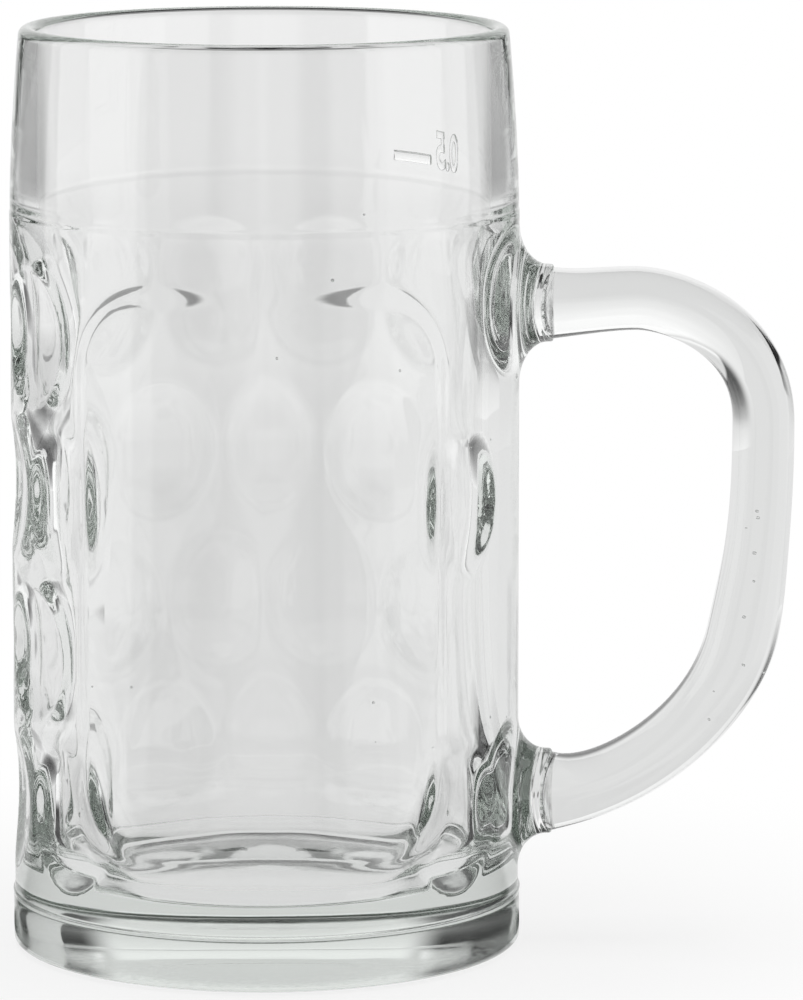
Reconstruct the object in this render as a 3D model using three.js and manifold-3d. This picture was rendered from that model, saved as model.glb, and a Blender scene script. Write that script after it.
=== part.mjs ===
// Half-litre dimpled glass beer mug: a thick glass body, and a glass handle welded to the body's two bosses.
// Millimetres, +Z up. The origin is the centre of the underside, and the handle points along +X.
import * as THREE from 'three';
import { mergeVertices } from 'three/addons/utils/BufferGeometryUtils.js';
import Module from 'manifold-3d';

// Body, outside
const MUG_HEIGHT = 157.7;
const LIP_THICKNESS = 2.7;
const BAND_TOP_RADIUS = 41.4;
const BAND_BOTTOM_RADIUS = 43.2;
const BAND_CURVE = 1.6;
const RING_Z = 127.0;
const RING_HEIGHT = 1.6;
const RING_GROOVE = 0.35;
const BODY_RADIUS = 43.3;
const FOOT_HEIGHT = 9.6;
const FOOT_SHOULDER = 2.0;
const FOOT_STEP = 0.35;
const HEEL_RADIUS = 2.5;

// Body, inside
const BAND_WALL = 4.4;
const BODY_WALL = 6.2;
const LOW_WALL = 6.9;
const INNER_STEP_DROP = 12.0;
const FLOOR_THICKNESS = 12.5;
const FLOOR_CORNER_RADIUS = 9.0;

// Dimples: staggered rows round the body, left out at the front panel and at the handle
const DIMPLE_ROWS = 4;
const DIMPLES_ROUND = 11;
const LOWEST_ROW_Z = 26.2;
const ROW_PITCH = 26.85;
const DIMPLE_HALF_WIDTH = 11.3;
const DIMPLE_HALF_HEIGHT = 11.8;
const DIMPLE_HOLLOW = 0.95;
const HANDLE_SIDE_CLEAR_ANGLE = 38;

// Front panel, a smooth field on the side that faces -Y. It is on a flatter curve than the body, so it is nearly
// flush in the middle and stands proud towards its sides.
const PANEL_HALF_WIDTH = 29.9;
const PANEL_BOTTOM_Z = 19.6;
const PANEL_TOP_Z = 116.3;
const PANEL_CORNER_RADIUS = 14.0;
const PANEL_FLATTENING = 3.6;
const PANEL_RAISE = 0.15;

// Fill line, raised on the band behind the handle
const FILL_LINE_Z = 130.4;
const FILL_LINE_HEIGHT = 1.7;
const FILL_LINE_RAISE = 0.45;
const FILL_LINE_START_ANGLE = 43.4;
const FILL_LINE_SWEEP_ANGLE = 12.7;

// Bosses and handle
const UPPER_BOSS_Z = 110.4;
const LOWER_BOSS_Z = 25.8;
const BOSS_LENGTH = 5.8;
const BOSS_LAND = 0.5;
const BOSS_FLARE = 7.6;
const BOSS_LIP = 0.55;
const UPPER_END_HALF_THICKNESS = 6.05;
const LOWER_END_HALF_THICKNESS = 6.75;
const GRIP_HALF_THICKNESS = 5.25;
const UPPER_END_BLEND = 4.6;
const LOWER_END_BLEND = 4.3;
const GRIP_FOOT_SWELL = 0.8;
const GRIP_FOOT_SWELL_LENGTH = 12.0;
const HANDLE_HALF_DEPTH = 7.5;
const HANDLE_CORNER_SHARE = 0.8;
const UPPER_ARM_LENGTH = 13.9;
const UPPER_ARM_RISE = 0.8;
const GRIP_OFFSET = 35.9;
const GRIP_TOP_DROP = 21.2;
const GRIP_FOOT_INSET = 3.2;
const GRIP_FOOT_RISE = 28.0;
const GRIP_FOOT_LEAN_ANGLE = 11.6;

// How far each end of a bend pulls the handle's curve, as a share of the stretch that it bends
const UPPER_ARM_PULL = 0.33;
const ELBOW_ARM_PULL = 0.3;
const ELBOW_GRIP_PULL = 0.75;
const GRIP_PULL = 0.2;
const GRIP_FOOT_PULL = 0.37;
const LOWER_ARM_PULL = 0.36;

// Fineness of the facets
const ROUND_SEGMENTS = 64;
const ARC_STEPS = 3;
const BAND_STEPS = 5;
const DIMPLE_SEGMENTS = 16;
const DIMPLE_RINGS = 3;
const BOSS_SEGMENTS = 28;
const HANDLE_STEPS = 32;
const HANDLE_CORNER_STEPS = 2;

// Cutters reach this far past the surface that they cut, and joined solids sink this far into each other
const OVERRUN = 0.5;
const JOIN_DEPTH = 2.0;
const WELD_DISTANCE = 1e-4;

const footRadius = BODY_RADIUS + FOOT_STEP;
const seamX = BODY_RADIUS + BOSS_LENGTH;
const dimpleDepth = DIMPLE_HOLLOW + DIMPLE_HALF_WIDTH ** 2 / (2 * BODY_RADIUS);

const wasm = await Module();
wasm.setup();

// A closed geometry as a solid that can be joined and cut. Triangles that close up to a line, where a turned
// profile meets its axis, are left out.
function toSolid(geometry) {
  const bare = new THREE.BufferGeometry();
  bare.setAttribute('position', geometry.getAttribute('position'));
  bare.setIndex(geometry.getIndex());
  const merged = mergeVertices(bare, WELD_DISTANCE);
  const corners = merged.getIndex().array;
  const triangles = [];
  for (let i = 0; i < corners.length; i += 3) {
    const [a, b, c] = [corners[i], corners[i + 1], corners[i + 2]];
    if (a !== b && b !== c && c !== a) triangles.push(a, b, c);
  }
  return new wasm.Manifold(new wasm.Mesh({
    numProp: 3,
    vertProperties: new Float32Array(merged.getAttribute('position').array),
    triVerts: new Uint32Array(triangles),
  }));
}

function toMesh(name, solid, material) {
  const { vertProperties, triVerts } = solid.getMesh();
  const geometry = new THREE.BufferGeometry();
  geometry.setAttribute('position', new THREE.BufferAttribute(vertProperties, 3));
  geometry.setIndex(new THREE.BufferAttribute(triVerts, 1));
  geometry.computeVertexNormals();
  const mesh = new THREE.Mesh(geometry, material);
  mesh.name = name;
  return mesh;
}

// A profile of radius and height, turned about Z
function turnAboutZ(path, segments) {
  return new THREE.LatheGeometry(path.getPoints(ARC_STEPS), segments).rotateX(Math.PI / 2);
}

// The band is upright above the ring and draws in more and more towards the lip
function bandRadius(z) {
  const share = Math.max(z - RING_Z, 0) / (MUG_HEIGHT - RING_Z);
  return THREE.MathUtils.lerp(BAND_BOTTOM_RADIUS, BAND_TOP_RADIUS, share ** BAND_CURVE);
}

// The vessel's section, from the middle of the underside up the outside, over the lip and down to the floor
function vesselProfile() {
  const halfRing = RING_HEIGHT / 2;
  const halfLip = LIP_THICKNESS / 2;
  const lipCentre = bandRadius(MUG_HEIGHT - halfLip) - halfLip;
  const innerStepZ = RING_Z - INNER_STEP_DROP;
  const lowRadius = BODY_RADIUS - LOW_WALL;
  const cornerCentre = lowRadius - FLOOR_CORNER_RADIUS;
  const cornerZ = FLOOR_THICKNESS + FLOOR_CORNER_RADIUS;
  const profile = new THREE.Path();
  profile.moveTo(0, 0);
  profile.lineTo(footRadius - HEEL_RADIUS, 0);
  profile.absarc(footRadius - HEEL_RADIUS, HEEL_RADIUS, HEEL_RADIUS, -Math.PI / 2, 0);
  profile.lineTo(footRadius, FOOT_HEIGHT);
  profile.lineTo(BODY_RADIUS, FOOT_HEIGHT + FOOT_SHOULDER);
  profile.lineTo(BODY_RADIUS, RING_Z - halfRing);
  profile.lineTo(BAND_BOTTOM_RADIUS - RING_GROOVE, RING_Z);
  for (let step = 0; step <= BAND_STEPS; step += 1) {
    const z = THREE.MathUtils.lerp(RING_Z + halfRing, MUG_HEIGHT - halfLip, step / BAND_STEPS);
    profile.lineTo(bandRadius(z), z);
  }
  profile.absarc(lipCentre, MUG_HEIGHT - halfLip, halfLip, 0, Math.PI);
  profile.lineTo(BAND_BOTTOM_RADIUS - BAND_WALL, RING_Z);
  profile.lineTo(BODY_RADIUS - BODY_WALL, innerStepZ);
  profile.lineTo(lowRadius, cornerZ);
  profile.absarc(cornerCentre, cornerZ, FLOOR_CORNER_RADIUS, 0, -Math.PI / 2, true);
  profile.lineTo(0, FLOOR_THICKNESS);
  return profile;
}

// One bowl-shaped cutter: a paraboloid whose edge on the round body is the dimple's oval. It is deeper than its
// own hollow by the round that the body has across the dimple's width.
function dimpleCutter(angle, z) {
  const height = dimpleDepth + OVERRUN;
  const bowl = [];
  for (let ring = 0; ring <= DIMPLE_RINGS; ring += 1) {
    const radius = Math.sqrt(height) * ring / DIMPLE_RINGS;
    bowl.push(new THREE.Vector2(radius, radius ** 2));
  }
  bowl.push(new THREE.Vector2(0, height));
  const acrossScale = DIMPLE_HALF_WIDTH / Math.sqrt(DIMPLE_HOLLOW);
  const upScale = DIMPLE_HALF_HEIGHT / Math.sqrt(dimpleDepth);
  const outward = new THREE.Vector3(Math.cos(angle), Math.sin(angle), 0);
  const across = new THREE.Vector3(Math.sin(angle), -Math.cos(angle), 0);
  const place = new THREE.Matrix4().makeBasis(across, outward, new THREE.Vector3(0, 0, 1));
  place.scale(new THREE.Vector3(acrossScale, 1, upScale));
  place.setPosition(outward.multiplyScalar(BODY_RADIUS - dimpleDepth).setZ(z));
  return toSolid(new THREE.LatheGeometry(bowl, DIMPLE_SEGMENTS).applyMatrix4(place));
}

// Angles are counted from the middle of the front panel, positive towards the handle. Odd rows from the bottom
// have a dimple opposite the panel, and even rows are shifted by half a pitch.
function dimplePlaces() {
  const pitch = 360 / DIMPLES_ROUND;
  const panelAngle = THREE.MathUtils.radToDeg(Math.asin(PANEL_HALF_WIDTH / BODY_RADIUS));
  const places = [];
  for (let row = 0; row < DIMPLE_ROWS; row += 1) {
    const shift = row % 2 === 0 ? 180 : 180 + pitch / 2;
    for (let i = 0; i < DIMPLES_ROUND; i += 1) {
      const turn = (shift + i * pitch) % 360;
      const fromPanel = turn > 180 ? turn - 360 : turn;
      const onPanel = Math.abs(fromPanel) < panelAngle;
      const atHandle = Math.abs(fromPanel - 90) < HANDLE_SIDE_CLEAR_ANGLE;
      if (!onPanel && !atHandle) {
        places.push({ angle: THREE.MathUtils.degToRad(fromPanel - 90), z: LOWEST_ROW_Z + row * ROW_PITCH });
      }
    }
  }
  return places;
}

// A plain cylinder on the mug's axis, as tall as the mug
function drum(radius) {
  const profile = new THREE.Path();
  profile.moveTo(0, 0);
  profile.lineTo(radius, 0);
  profile.lineTo(radius, MUG_HEIGHT);
  profile.lineTo(0, MUG_HEIGHT);
  return turnAboutZ(profile, ROUND_SEGMENTS);
}

// The front panel: a rounded outline, with its face on a larger cylinder set back so that it meets the body in
// the middle. It reaches into the wall past the deepest dimple.
function panel() {
  const radius = PANEL_CORNER_RADIUS;
  const [left, right] = [-PANEL_HALF_WIDTH, PANEL_HALF_WIDTH];
  const outline = new THREE.Shape();
  outline.absarc(right - radius, PANEL_BOTTOM_Z + radius, radius, -Math.PI / 2, 0);
  outline.absarc(right - radius, PANEL_TOP_Z - radius, radius, 0, Math.PI / 2);
  outline.absarc(left + radius, PANEL_TOP_Z - radius, radius, Math.PI / 2, Math.PI);
  outline.absarc(left + radius, PANEL_BOTTOM_Z + radius, radius, Math.PI, Math.PI * 1.5);
  const depth = BODY_RADIUS + JOIN_DEPTH;
  const curveSegments = ARC_STEPS * 2;
  const field = new THREE.ExtrudeGeometry(outline, { depth, bevelEnabled: false, curveSegments });
  const face = drum(BODY_RADIUS + PANEL_FLATTENING).translate(0, PANEL_FLATTENING - PANEL_RAISE, 0);
  const core = drum(BODY_RADIUS - dimpleDepth - OVERRUN);
  return toSolid(field.rotateX(Math.PI / 2)).intersect(toSolid(face)).subtract(toSolid(core));
}

function fillLine() {
  const radius = bandRadius(FILL_LINE_Z);
  const start = THREE.MathUtils.degToRad(FILL_LINE_START_ANGLE);
  const end = start + THREE.MathUtils.degToRad(FILL_LINE_SWEEP_ANGLE);
  const outline = new THREE.Shape();
  outline.absarc(0, 0, radius + FILL_LINE_RAISE, start, end);
  outline.absarc(0, 0, radius - OVERRUN, end, start, true);
  const bar = new THREE.ExtrudeGeometry(outline, {
    depth: FILL_LINE_HEIGHT,
    bevelEnabled: false,
    curveSegments: ARC_STEPS,
  });
  return toSolid(bar.translate(0, 0, FILL_LINE_Z - FILL_LINE_HEIGHT / 2));
}

// A flared boss: a short neck that ends flat at the seam and spreads in a hollow curve on to the round body
function boss(z, neckRadius) {
  const spread = BOSS_LENGTH - BOSS_LAND;
  const profile = new THREE.Path();
  profile.moveTo(0, -JOIN_DEPTH);
  profile.lineTo(neckRadius + BOSS_FLARE, -JOIN_DEPTH);
  profile.lineTo(neckRadius + BOSS_FLARE, 0);
  profile.absellipse(neckRadius + BOSS_FLARE, spread, BOSS_FLARE, spread, Math.PI * 1.5, Math.PI, true);
  profile.lineTo(neckRadius, BOSS_LENGTH);
  profile.lineTo(0, BOSS_LENGTH);
  const turned = new THREE.LatheGeometry(profile.getPoints(ARC_STEPS), BOSS_SEGMENTS).rotateZ(-Math.PI / 2);
  const depthShare = (HANDLE_HALF_DEPTH + BOSS_LIP) / neckRadius;
  turned.scale(1, depthShare, 1);
  const position = turned.getAttribute('position');
  for (let i = 0; i < position.count; i += 1) {
    const height = position.getX(i);
    const side = Math.min(Math.abs(position.getY(i)), BODY_RADIUS);
    const fallBack = BODY_RADIUS - Math.sqrt(BODY_RADIUS ** 2 - side ** 2);
    const seat = THREE.MathUtils.clamp((spread - height) / spread, 0, 1);
    position.setX(i, BODY_RADIUS + height - fallBack * seat);
  }
  return toSolid(turned.translate(0, 0, z));
}

// The handle's centre line in the XZ plane, from the upper seam round to the lower seam
function handlePath() {
  const point = (x, z) => new THREE.Vector3(x, 0, z);
  const gripX = seamX + GRIP_OFFSET;
  const armX = seamX + UPPER_ARM_LENGTH;
  const armZ = UPPER_BOSS_Z + UPPER_ARM_RISE;
  const gripTopZ = armZ - GRIP_TOP_DROP;
  const gripFootX = gripX - GRIP_FOOT_INSET;
  const gripFootZ = LOWER_BOSS_Z + GRIP_FOOT_RISE;
  const elbow = gripX - armX;
  const grip = gripTopZ - gripFootZ;
  const lean = THREE.MathUtils.degToRad(GRIP_FOOT_LEAN_ANGLE);
  const footPull = Math.hypot(gripFootX - seamX, GRIP_FOOT_RISE) * GRIP_FOOT_PULL;
  const [footPullX, footPullZ] = [footPull * Math.sin(lean), footPull * Math.cos(lean)];
  const path = new THREE.CurvePath();
  path.add(new THREE.CubicBezierCurve3(
    point(seamX, UPPER_BOSS_Z),
    point(seamX + UPPER_ARM_LENGTH * UPPER_ARM_PULL, UPPER_BOSS_Z),
    point(armX - UPPER_ARM_LENGTH * UPPER_ARM_PULL, armZ),
    point(armX, armZ),
  ));
  path.add(new THREE.CubicBezierCurve3(
    point(armX, armZ),
    point(armX + elbow * ELBOW_ARM_PULL, armZ),
    point(gripX, gripTopZ + GRIP_TOP_DROP * ELBOW_GRIP_PULL),
    point(gripX, gripTopZ),
  ));
  path.add(new THREE.CubicBezierCurve3(
    point(gripX, gripTopZ),
    point(gripX, gripTopZ - grip * GRIP_PULL),
    point(gripFootX + footPullX, gripFootZ + footPullZ),
    point(gripFootX, gripFootZ),
  ));
  path.add(new THREE.CubicBezierCurve3(
    point(gripFootX, gripFootZ),
    point(gripFootX - footPullX, gripFootZ - footPullZ),
    point(seamX + (gripFootX - seamX) * LOWER_ARM_PULL, LOWER_BOSS_Z),
    point(seamX, LOWER_BOSS_Z),
  ));
  return path;
}

// Both ends are square to the bosses' flat ends
function handleTangent(path, share) {
  if (share === 0) return new THREE.Vector3(1, 0, 0);
  if (share === 1) return new THREE.Vector3(-1, 0, 0);
  return path.getTangentAt(share);
}

// The bar swells towards each end, where it is welded on, and a little at the foot of the grip
function handleHalfThickness(path, along) {
  const [, , gripFoot, length] = path.getCurveLengths();
  const upperSwell = UPPER_END_HALF_THICKNESS - GRIP_HALF_THICKNESS;
  const lowerSwell = LOWER_END_HALF_THICKNESS - GRIP_HALF_THICKNESS;
  return GRIP_HALF_THICKNESS
    + upperSwell * Math.exp(-along / UPPER_END_BLEND)
    + lowerSwell * Math.exp((along - length) / LOWER_END_BLEND)
    + GRIP_FOOT_SWELL * Math.exp(-(((along - gripFoot) / GRIP_FOOT_SWELL_LENGTH) ** 2));
}

// The bar is extruded straight with a section of unit size, then each of its steps is set on the path and
// given the thickness that the bar has there.
function handleGeometry() {
  const section = new THREE.Shape();
  const inset = 1 - HANDLE_CORNER_SHARE;
  section.absarc(inset, inset, HANDLE_CORNER_SHARE, 0, Math.PI / 2);
  section.absarc(-inset, inset, HANDLE_CORNER_SHARE, Math.PI / 2, Math.PI);
  section.absarc(-inset, -inset, HANDLE_CORNER_SHARE, Math.PI, Math.PI * 1.5);
  section.absarc(inset, -inset, HANDLE_CORNER_SHARE, Math.PI * 1.5, Math.PI * 2);
  const bar = new THREE.ExtrudeGeometry(section, {
    depth: 1,
    steps: HANDLE_STEPS,
    bevelEnabled: false,
    curveSegments: HANDLE_CORNER_STEPS,
  });
  const path = handlePath();
  const position = bar.getAttribute('position');
  const length = path.getLength();
  for (let i = 0; i < position.count; i += 1) {
    const share = THREE.MathUtils.clamp(position.getZ(i), 0, 1);
    const centre = path.getPointAt(share);
    const tangent = handleTangent(path, share);
    const out = position.getX(i) * handleHalfThickness(path, share * length);
    position.setXYZ(
      i,
      centre.x + tangent.z * out,
      position.getY(i) * HANDLE_HALF_DEPTH,
      centre.z - tangent.x * out,
    );
  }
  return bar;
}

function bodySolid() {
  let solid = toSolid(turnAboutZ(vesselProfile(), ROUND_SEGMENTS));
  for (const { angle, z } of dimplePlaces()) solid = solid.subtract(dimpleCutter(angle, z));
  return solid
    .add(panel())
    .add(fillLine())
    .add(boss(UPPER_BOSS_Z, UPPER_END_HALF_THICKNESS + BOSS_LIP))
    .add(boss(LOWER_BOSS_Z, LOWER_END_HALF_THICKNESS + BOSS_LIP));
}

function clearGlass(color) {
  return new THREE.MeshStandardMaterial({
    color,
    roughness: 0.05,
    metalness: 0,
    transparent: true,
    opacity: 0.35,
  });
}

const mug = new THREE.Group();
mug.name = 'beer_mug';
mug.add(toMesh('mug_body', bodySolid(), clearGlass(0xdde0dc)));
mug.add(toMesh('handle', toSolid(handleGeometry()), clearGlass(0xd9dbd7)));

export default mug;
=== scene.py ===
import math
from types import SimpleNamespace

import bmesh
import bpy
import numpy as np
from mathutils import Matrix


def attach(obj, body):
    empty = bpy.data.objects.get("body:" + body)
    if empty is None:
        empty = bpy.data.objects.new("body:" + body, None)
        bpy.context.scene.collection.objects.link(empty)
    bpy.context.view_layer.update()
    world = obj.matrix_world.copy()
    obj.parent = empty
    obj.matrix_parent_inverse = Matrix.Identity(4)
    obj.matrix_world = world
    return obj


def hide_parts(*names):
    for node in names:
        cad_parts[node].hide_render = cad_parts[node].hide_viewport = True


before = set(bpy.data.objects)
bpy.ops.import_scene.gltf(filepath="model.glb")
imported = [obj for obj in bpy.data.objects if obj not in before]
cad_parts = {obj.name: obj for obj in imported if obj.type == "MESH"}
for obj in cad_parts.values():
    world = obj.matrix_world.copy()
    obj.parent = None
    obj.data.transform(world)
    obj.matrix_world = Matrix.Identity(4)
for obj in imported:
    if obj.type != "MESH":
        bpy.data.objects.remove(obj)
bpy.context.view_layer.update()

# Lengths are in millimetres and angles in degrees, unless a line says otherwise
MM = 0.001

# Vessel, outside
MUG_HEIGHT = 157.7
LIP_THICKNESS = 3.0
BAND_TOP_RADIUS = 41.4
BAND_BOTTOM_RADIUS = 43.2
BAND_CURVE = 1.6
RING_Z = 127.0
RING_HALF_HEIGHT = 0.8
RING_GROOVE = 0.08
BODY_RADIUS = 43.3
FOOT_HEIGHT = 9.6
FOOT_SHOULDER = 2.0
FOOT_RADIUS = 43.65
FOOT_BEAD = 0.1
HEEL_DEPTH = 2.5
HEEL_HEIGHT = 1.3
UNDERSIDE_HOLLOW = 1.6
BEARING_RING_RADIUS = 36.0

# The bead at the top of the foot: steps out from the foot's radius and up from its height
FOOT_BEAD_SECTION = (
    (-0.09, -0.6),
    (-0.04, -0.42),
    (0.0, -0.25),
    (-0.06, -0.08),
    (-0.2, 0.05),
    (-0.28, 0.2),
    (-0.31, 0.5),
    (-0.33, 1.1),
)

# Vessel, inside
BAND_WALL = 4.4
BODY_WALL = 6.2
LOW_WALL = 6.9
INNER_STEP_DROP = 12.0
INNER_WALL_SOFTNESS = 3.5
FLOOR_THICKNESS = 12.5
FLOOR_CORNER_RADIUS = 9.0

# Dimples and front panel. The inside swellings fade out between two depths in from the body's radius.
DIMPLE_ROWS = 4
DIMPLES_ROUND = 11
LOWEST_ROW_Z = 26.2
ROW_PITCH = 26.85
DIMPLE_HALF_WIDTH = 11.3
DIMPLE_HALF_HEIGHT = 11.8
DIMPLE_DEPTH = 2.4
DIMPLE_EDGE_SOFTNESS = 0.14
SWELL_SHARE = 0.6
SWELL_SPREAD = 1.2
SWELL_FOOT_STRETCH = 0.4
SWELL_FADE_START = 12.0
SWELL_FADE_END = 24.0
HANDLE_SIDE_CLEAR_ANGLE = 38.0
PANEL_CLEAR_WIDTH = 29.9
PANEL_HALF_WIDTH = 33.0
PANEL_BOTTOM_Z = 19.6
PANEL_TOP_Z = 116.3
PANEL_CORNER_RADIUS = 14.0
PANEL_RAISE = 1.4
PANEL_SIDE_EASE = 0.5
PANEL_BESIDE_REACH_IN = 3.0
PANEL_BESIDE_REACH_OUT = 6.0
PANEL_SIDE_SOFTNESS = 3.6
PANEL_END_SOFTNESS = 5.0

# Bosses. Each patch is the stretch of wall, by height, that a boss takes the place of.
UPPER_BOSS_Z = 110.4
LOWER_BOSS_Z = 25.8
UPPER_PATCH = (94.9, 125.4)
LOWER_PATCH = (12.2, 39.4)
SEAM_X = 49.1
SEAM_SADDLE = 2.2
SEAM_SADDLE_REACH = 3.0
SEAM_OVERLAP = 0.25
BOSS_LAND = 0.9
BOSS_LIP = 0.55
UPPER_BOSS_FLARE = 7.2
LOWER_BOSS_FLARE = 5.7

# The boss's rounded end: how far in from its edge, and how far back from the seam
BOSS_END_SECTION = ((0.0, 0.55), (0.03, 0.3), (0.12, 0.1), (0.3, 0.0), (2.0, 0.0), (4.5, 0.0))

# Handle. The swelling at the grip's foot starts at a share of the handle's path.
UPPER_END_HALF_THICKNESS = 6.05
LOWER_END_HALF_THICKNESS = 6.75
GRIP_HALF_THICKNESS = 5.25
UPPER_END_BLEND = 4.6
LOWER_END_BLEND = 4.3
GRIP_FOOT_SWELL = 0.8
GRIP_FOOT_SWELL_LENGTH = 12.0
GRIP_FOOT_SWELL_START = 0.35
HANDLE_HALF_DEPTH = 7.5
HANDLE_SQUARENESS = 2.5
UPPER_ARM_LENGTH = 13.9
UPPER_ARM_RISE = 0.8
GRIP_OFFSET = 35.9
GRIP_TOP_DROP = 21.2
GRIP_FOOT_INSET = 3.2
GRIP_FOOT_RISE = 28.0
GRIP_FOOT_LEAN_ANGLE = 11.6

# How far each end of a bend pulls the handle's curve, as a share of the stretch that it bends
UPPER_ARM_PULL = 0.33
ELBOW_ARM_PULL = 0.3
ELBOW_GRIP_PULL = 0.75
GRIP_PULL = 0.2
GRIP_FOOT_PULL = 0.37
LOWER_ARM_PULL = 0.36

# Fill mark, on the back of the band; its angles are counted from the handle
FILL_LINE_Z = 130.4
FILL_LINE_HEIGHT = 1.7
FILL_LINE_RAISE = 0.45
FILL_LINE_START_ANGLE = 43.4
FILL_LINE_SWEEP_ANGLE = 12.7
FILL_LINE_SINK = 0.15
FILL_LINE_FULLNESS = 0.6
FILL_FIGURES = "0.5"
FIGURES_START_ANGLE = 30.6
FIGURES_SWEEP_ANGLE = 10.5
FIGURES_BOTTOM_Z = 129.1
FIGURES_HEIGHT = 6.3
FIGURES_EXTRUDE = 0.03
FIGURES_BEVEL = 0.03
MARK_SHARP_ANGLE = 40.0

# Finish of the glass; the tint's density is for a metre of glass
GLASS_IOR = 1.52
GLASS_TINT = (0.50, 0.60, 0.52, 1.0)
GLASS_TINT_DENSITY = 4.5
WAVE_SCALE = 90.0
WAVE_DETAIL = 1.0
WAVE_HEIGHT = 0.02
SCUFF_SCALE = 700.0
SCUFF_DETAIL = 4.0
SCUFF_TOP = 1.2
SCUFF_ROUGHNESS = 0.3

# Seeds, the tiny bubbles in the glass. Those of the handle lie along a stretch of its path, given as shares.
WALL_SEEDS = 26
WALL_SEED_LEAST_DEPTH = 2.7
WALL_SEED_MOST_DEPTH = 3.6
WALL_SEED_LOW_Z = 22.0
WALL_SEED_HIGH_Z = 122.0
WALL_RANDOM_SEED = 11
HANDLE_SEEDS = 9
HANDLE_SEED_START = 0.45
HANDLE_SEED_END = 0.8
HANDLE_SEED_DRIFT_X = 2.5
HANDLE_SEED_DRIFT_Y = 4.0
HANDLE_RANDOM_SEED = 21
SEED_LEAST_RADIUS = 0.1
SEED_MOST_RADIUS = 0.3

# Fineness of the meshes
COLUMNS = 320
PATCH_COLUMNS = 20
ROW_SPACING = 1.0
FINE_ROW_SPACING = 0.55
PANEL_END_REACH = 2.75
UNDERSIDE_RINGS = (0.0, 6.0, 12.0, 18.0, 23.0, 27.0, 30.0, 33.0, 35.0, 36.5, 38.0, 39.5, 40.5)
FLOOR_RINGS = (25.0, 22.0, 18.0, 13.0, 8.0, 4.0, 0.0)
FOOT_ROWS = (2.2, 3.6, 5.0, 6.5, 7.8, 8.6)
HEEL_STEPS = 8
RING_ROWS = 9
BAND_ROWS = 26
LIP_STEPS = 16
INSIDE_ROWS = 54
FLOOR_CORNER_STEPS = 14
SOFTENING_SAMPLES = 33
SOFTENING_REACH = 2.0
PATCH_BLEND_SHARES = (0.25, 0.5, 0.75)
BOSS_FLARE_STEPS = 16
HANDLE_PATH_STEPS = 48
HANDLE_SECTIONS = 200
HANDLE_POINTS_ROUND = 72
HANDLE_CAP_SHARE = 0.02
FIGURES_CURVE_STEPS = 6
FILL_LINE_STEPS = 16
FILL_LINE_SECTION_POINTS = 9
WELD_DISTANCE = 0.002
MARK_WELD_DISTANCE = 0.001

# Gaps between the last row of one stretch of the vessel and the first row of the next
WALL_TOP_GAP = 0.2
BAND_START_GAP = 1.4
LIP_GAP = 0.6
FLOOR_CORNER_GAP = 0.8

# How far the dimple press keeps off the edges of the wall that it shapes
OUTSIDE_MARGIN = 1.0
WALL_BOTTOM_MARGIN = 0.2
WALL_TOP_MARGIN = 0.9
FLOOR_MARGIN = 0.1

# Studio tent, which only glass and gloss see. Its angles are from the front; its glows are shares of white.
TENT_RADIUS = 600.0
TENT_TOP = 500.0
TENT_DIM_GLOW = 0.02
TENT_EDGE_SOFTNESS = 1.5
TENT_TURNS = 361
TENT_WALL_ROWS = 51
TENT_TABLE_RINGS = 110
TENT_TABLE_INNER_RADIUS = 46.0
TENT_TABLE_Z = -0.1
GLASS_BACKDROP = 0.78
BACKDROP_TOP_GLOW = 1.05
BACKDROP_FULL_HEIGHT = 250.0
SOFTBOX_START_ANGLE = 56.0
SOFTBOX_END_ANGLE = 112.0
SOFTBOX_TOP = 420.0
SOFTBOX_TOP_SOFTNESS = 60.0
FLAG_GLOW = 0.9
FLAG_FADE_HEIGHT = 50.0
FLAG_END_ANGLE = 154.0
FLAG_SOFTNESS = 5.0
FRONT_STRIP_ANGLE = -1.0
PATCH_START_ANGLE = 138.0
PATCH_Z = 190.0
PATCH_SOFTNESS = 10.0
PATCH_GLOW = 0.7
PALE_RIGHT_START_ANGLE = 31.0
PALE_RIGHT_SOFTNESS = 2.0
PALE_RIGHT_GLOW = 0.6
PALE_RIGHT_REACH = 106.0
PALE_RIGHT_REACH_SOFTNESS = 6.0
PALE_FRONT_ANGLE = 18.0
PALE_FRONT_SOFTNESS = 4.0
PALE_FRONT_GLOW = 0.5
PALE_FRONT_TOP = 120.0
PALE_FRONT_TOP_SOFTNESS = 30.0
PALE_FRONT_REACH = 170.0
PALE_FRONT_REACH_SOFTNESS = 20.0
TABLE_BACK_ANGLE = 114.0
TABLE_BACK_SOFTNESS = 4.0
TABLE_DARK_RADIUS = 170.0
TABLE_DARK_SOFTNESS = 40.0

# Dark strip on the table behind the mug
DARK_STRIP_HALF_WIDTH = 32.0
DARK_STRIP_EDGE_SOFTNESS = 5.0
DARK_STRIP_START = 150.0
DARK_STRIP_START_SOFTNESS = 10.0
DARK_STRIP_REACH = 318.0
DARK_STRIP_REACH_SOFTNESS = 20.0
DARK_STRIP_SPREAD_START = 220.0
DARK_STRIP_SPREAD = 0.6
FAR_STRIP_GLOW = 0.35
FAR_STRIP_START_LENGTH = 40.0
FAR_STRIP_SOFTNESS = 0.25

# Pale cards close behind the mug, between it and the dark strip
LOW_CARD_Y = 47.0
LOW_CARD_HALF_WIDTH = 36.0
LOW_CARD_BOTTOM = 16.0
LOW_CARD_TOP = 80.0
HANDLE_CARD_Y = 100.0
HANDLE_CARD_LEFT = 40.0
HANDLE_CARD_RIGHT = 105.0
HANDLE_CARD_BOTTOM = 4.0
HANDLE_CARD_TOP = 92.0

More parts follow.
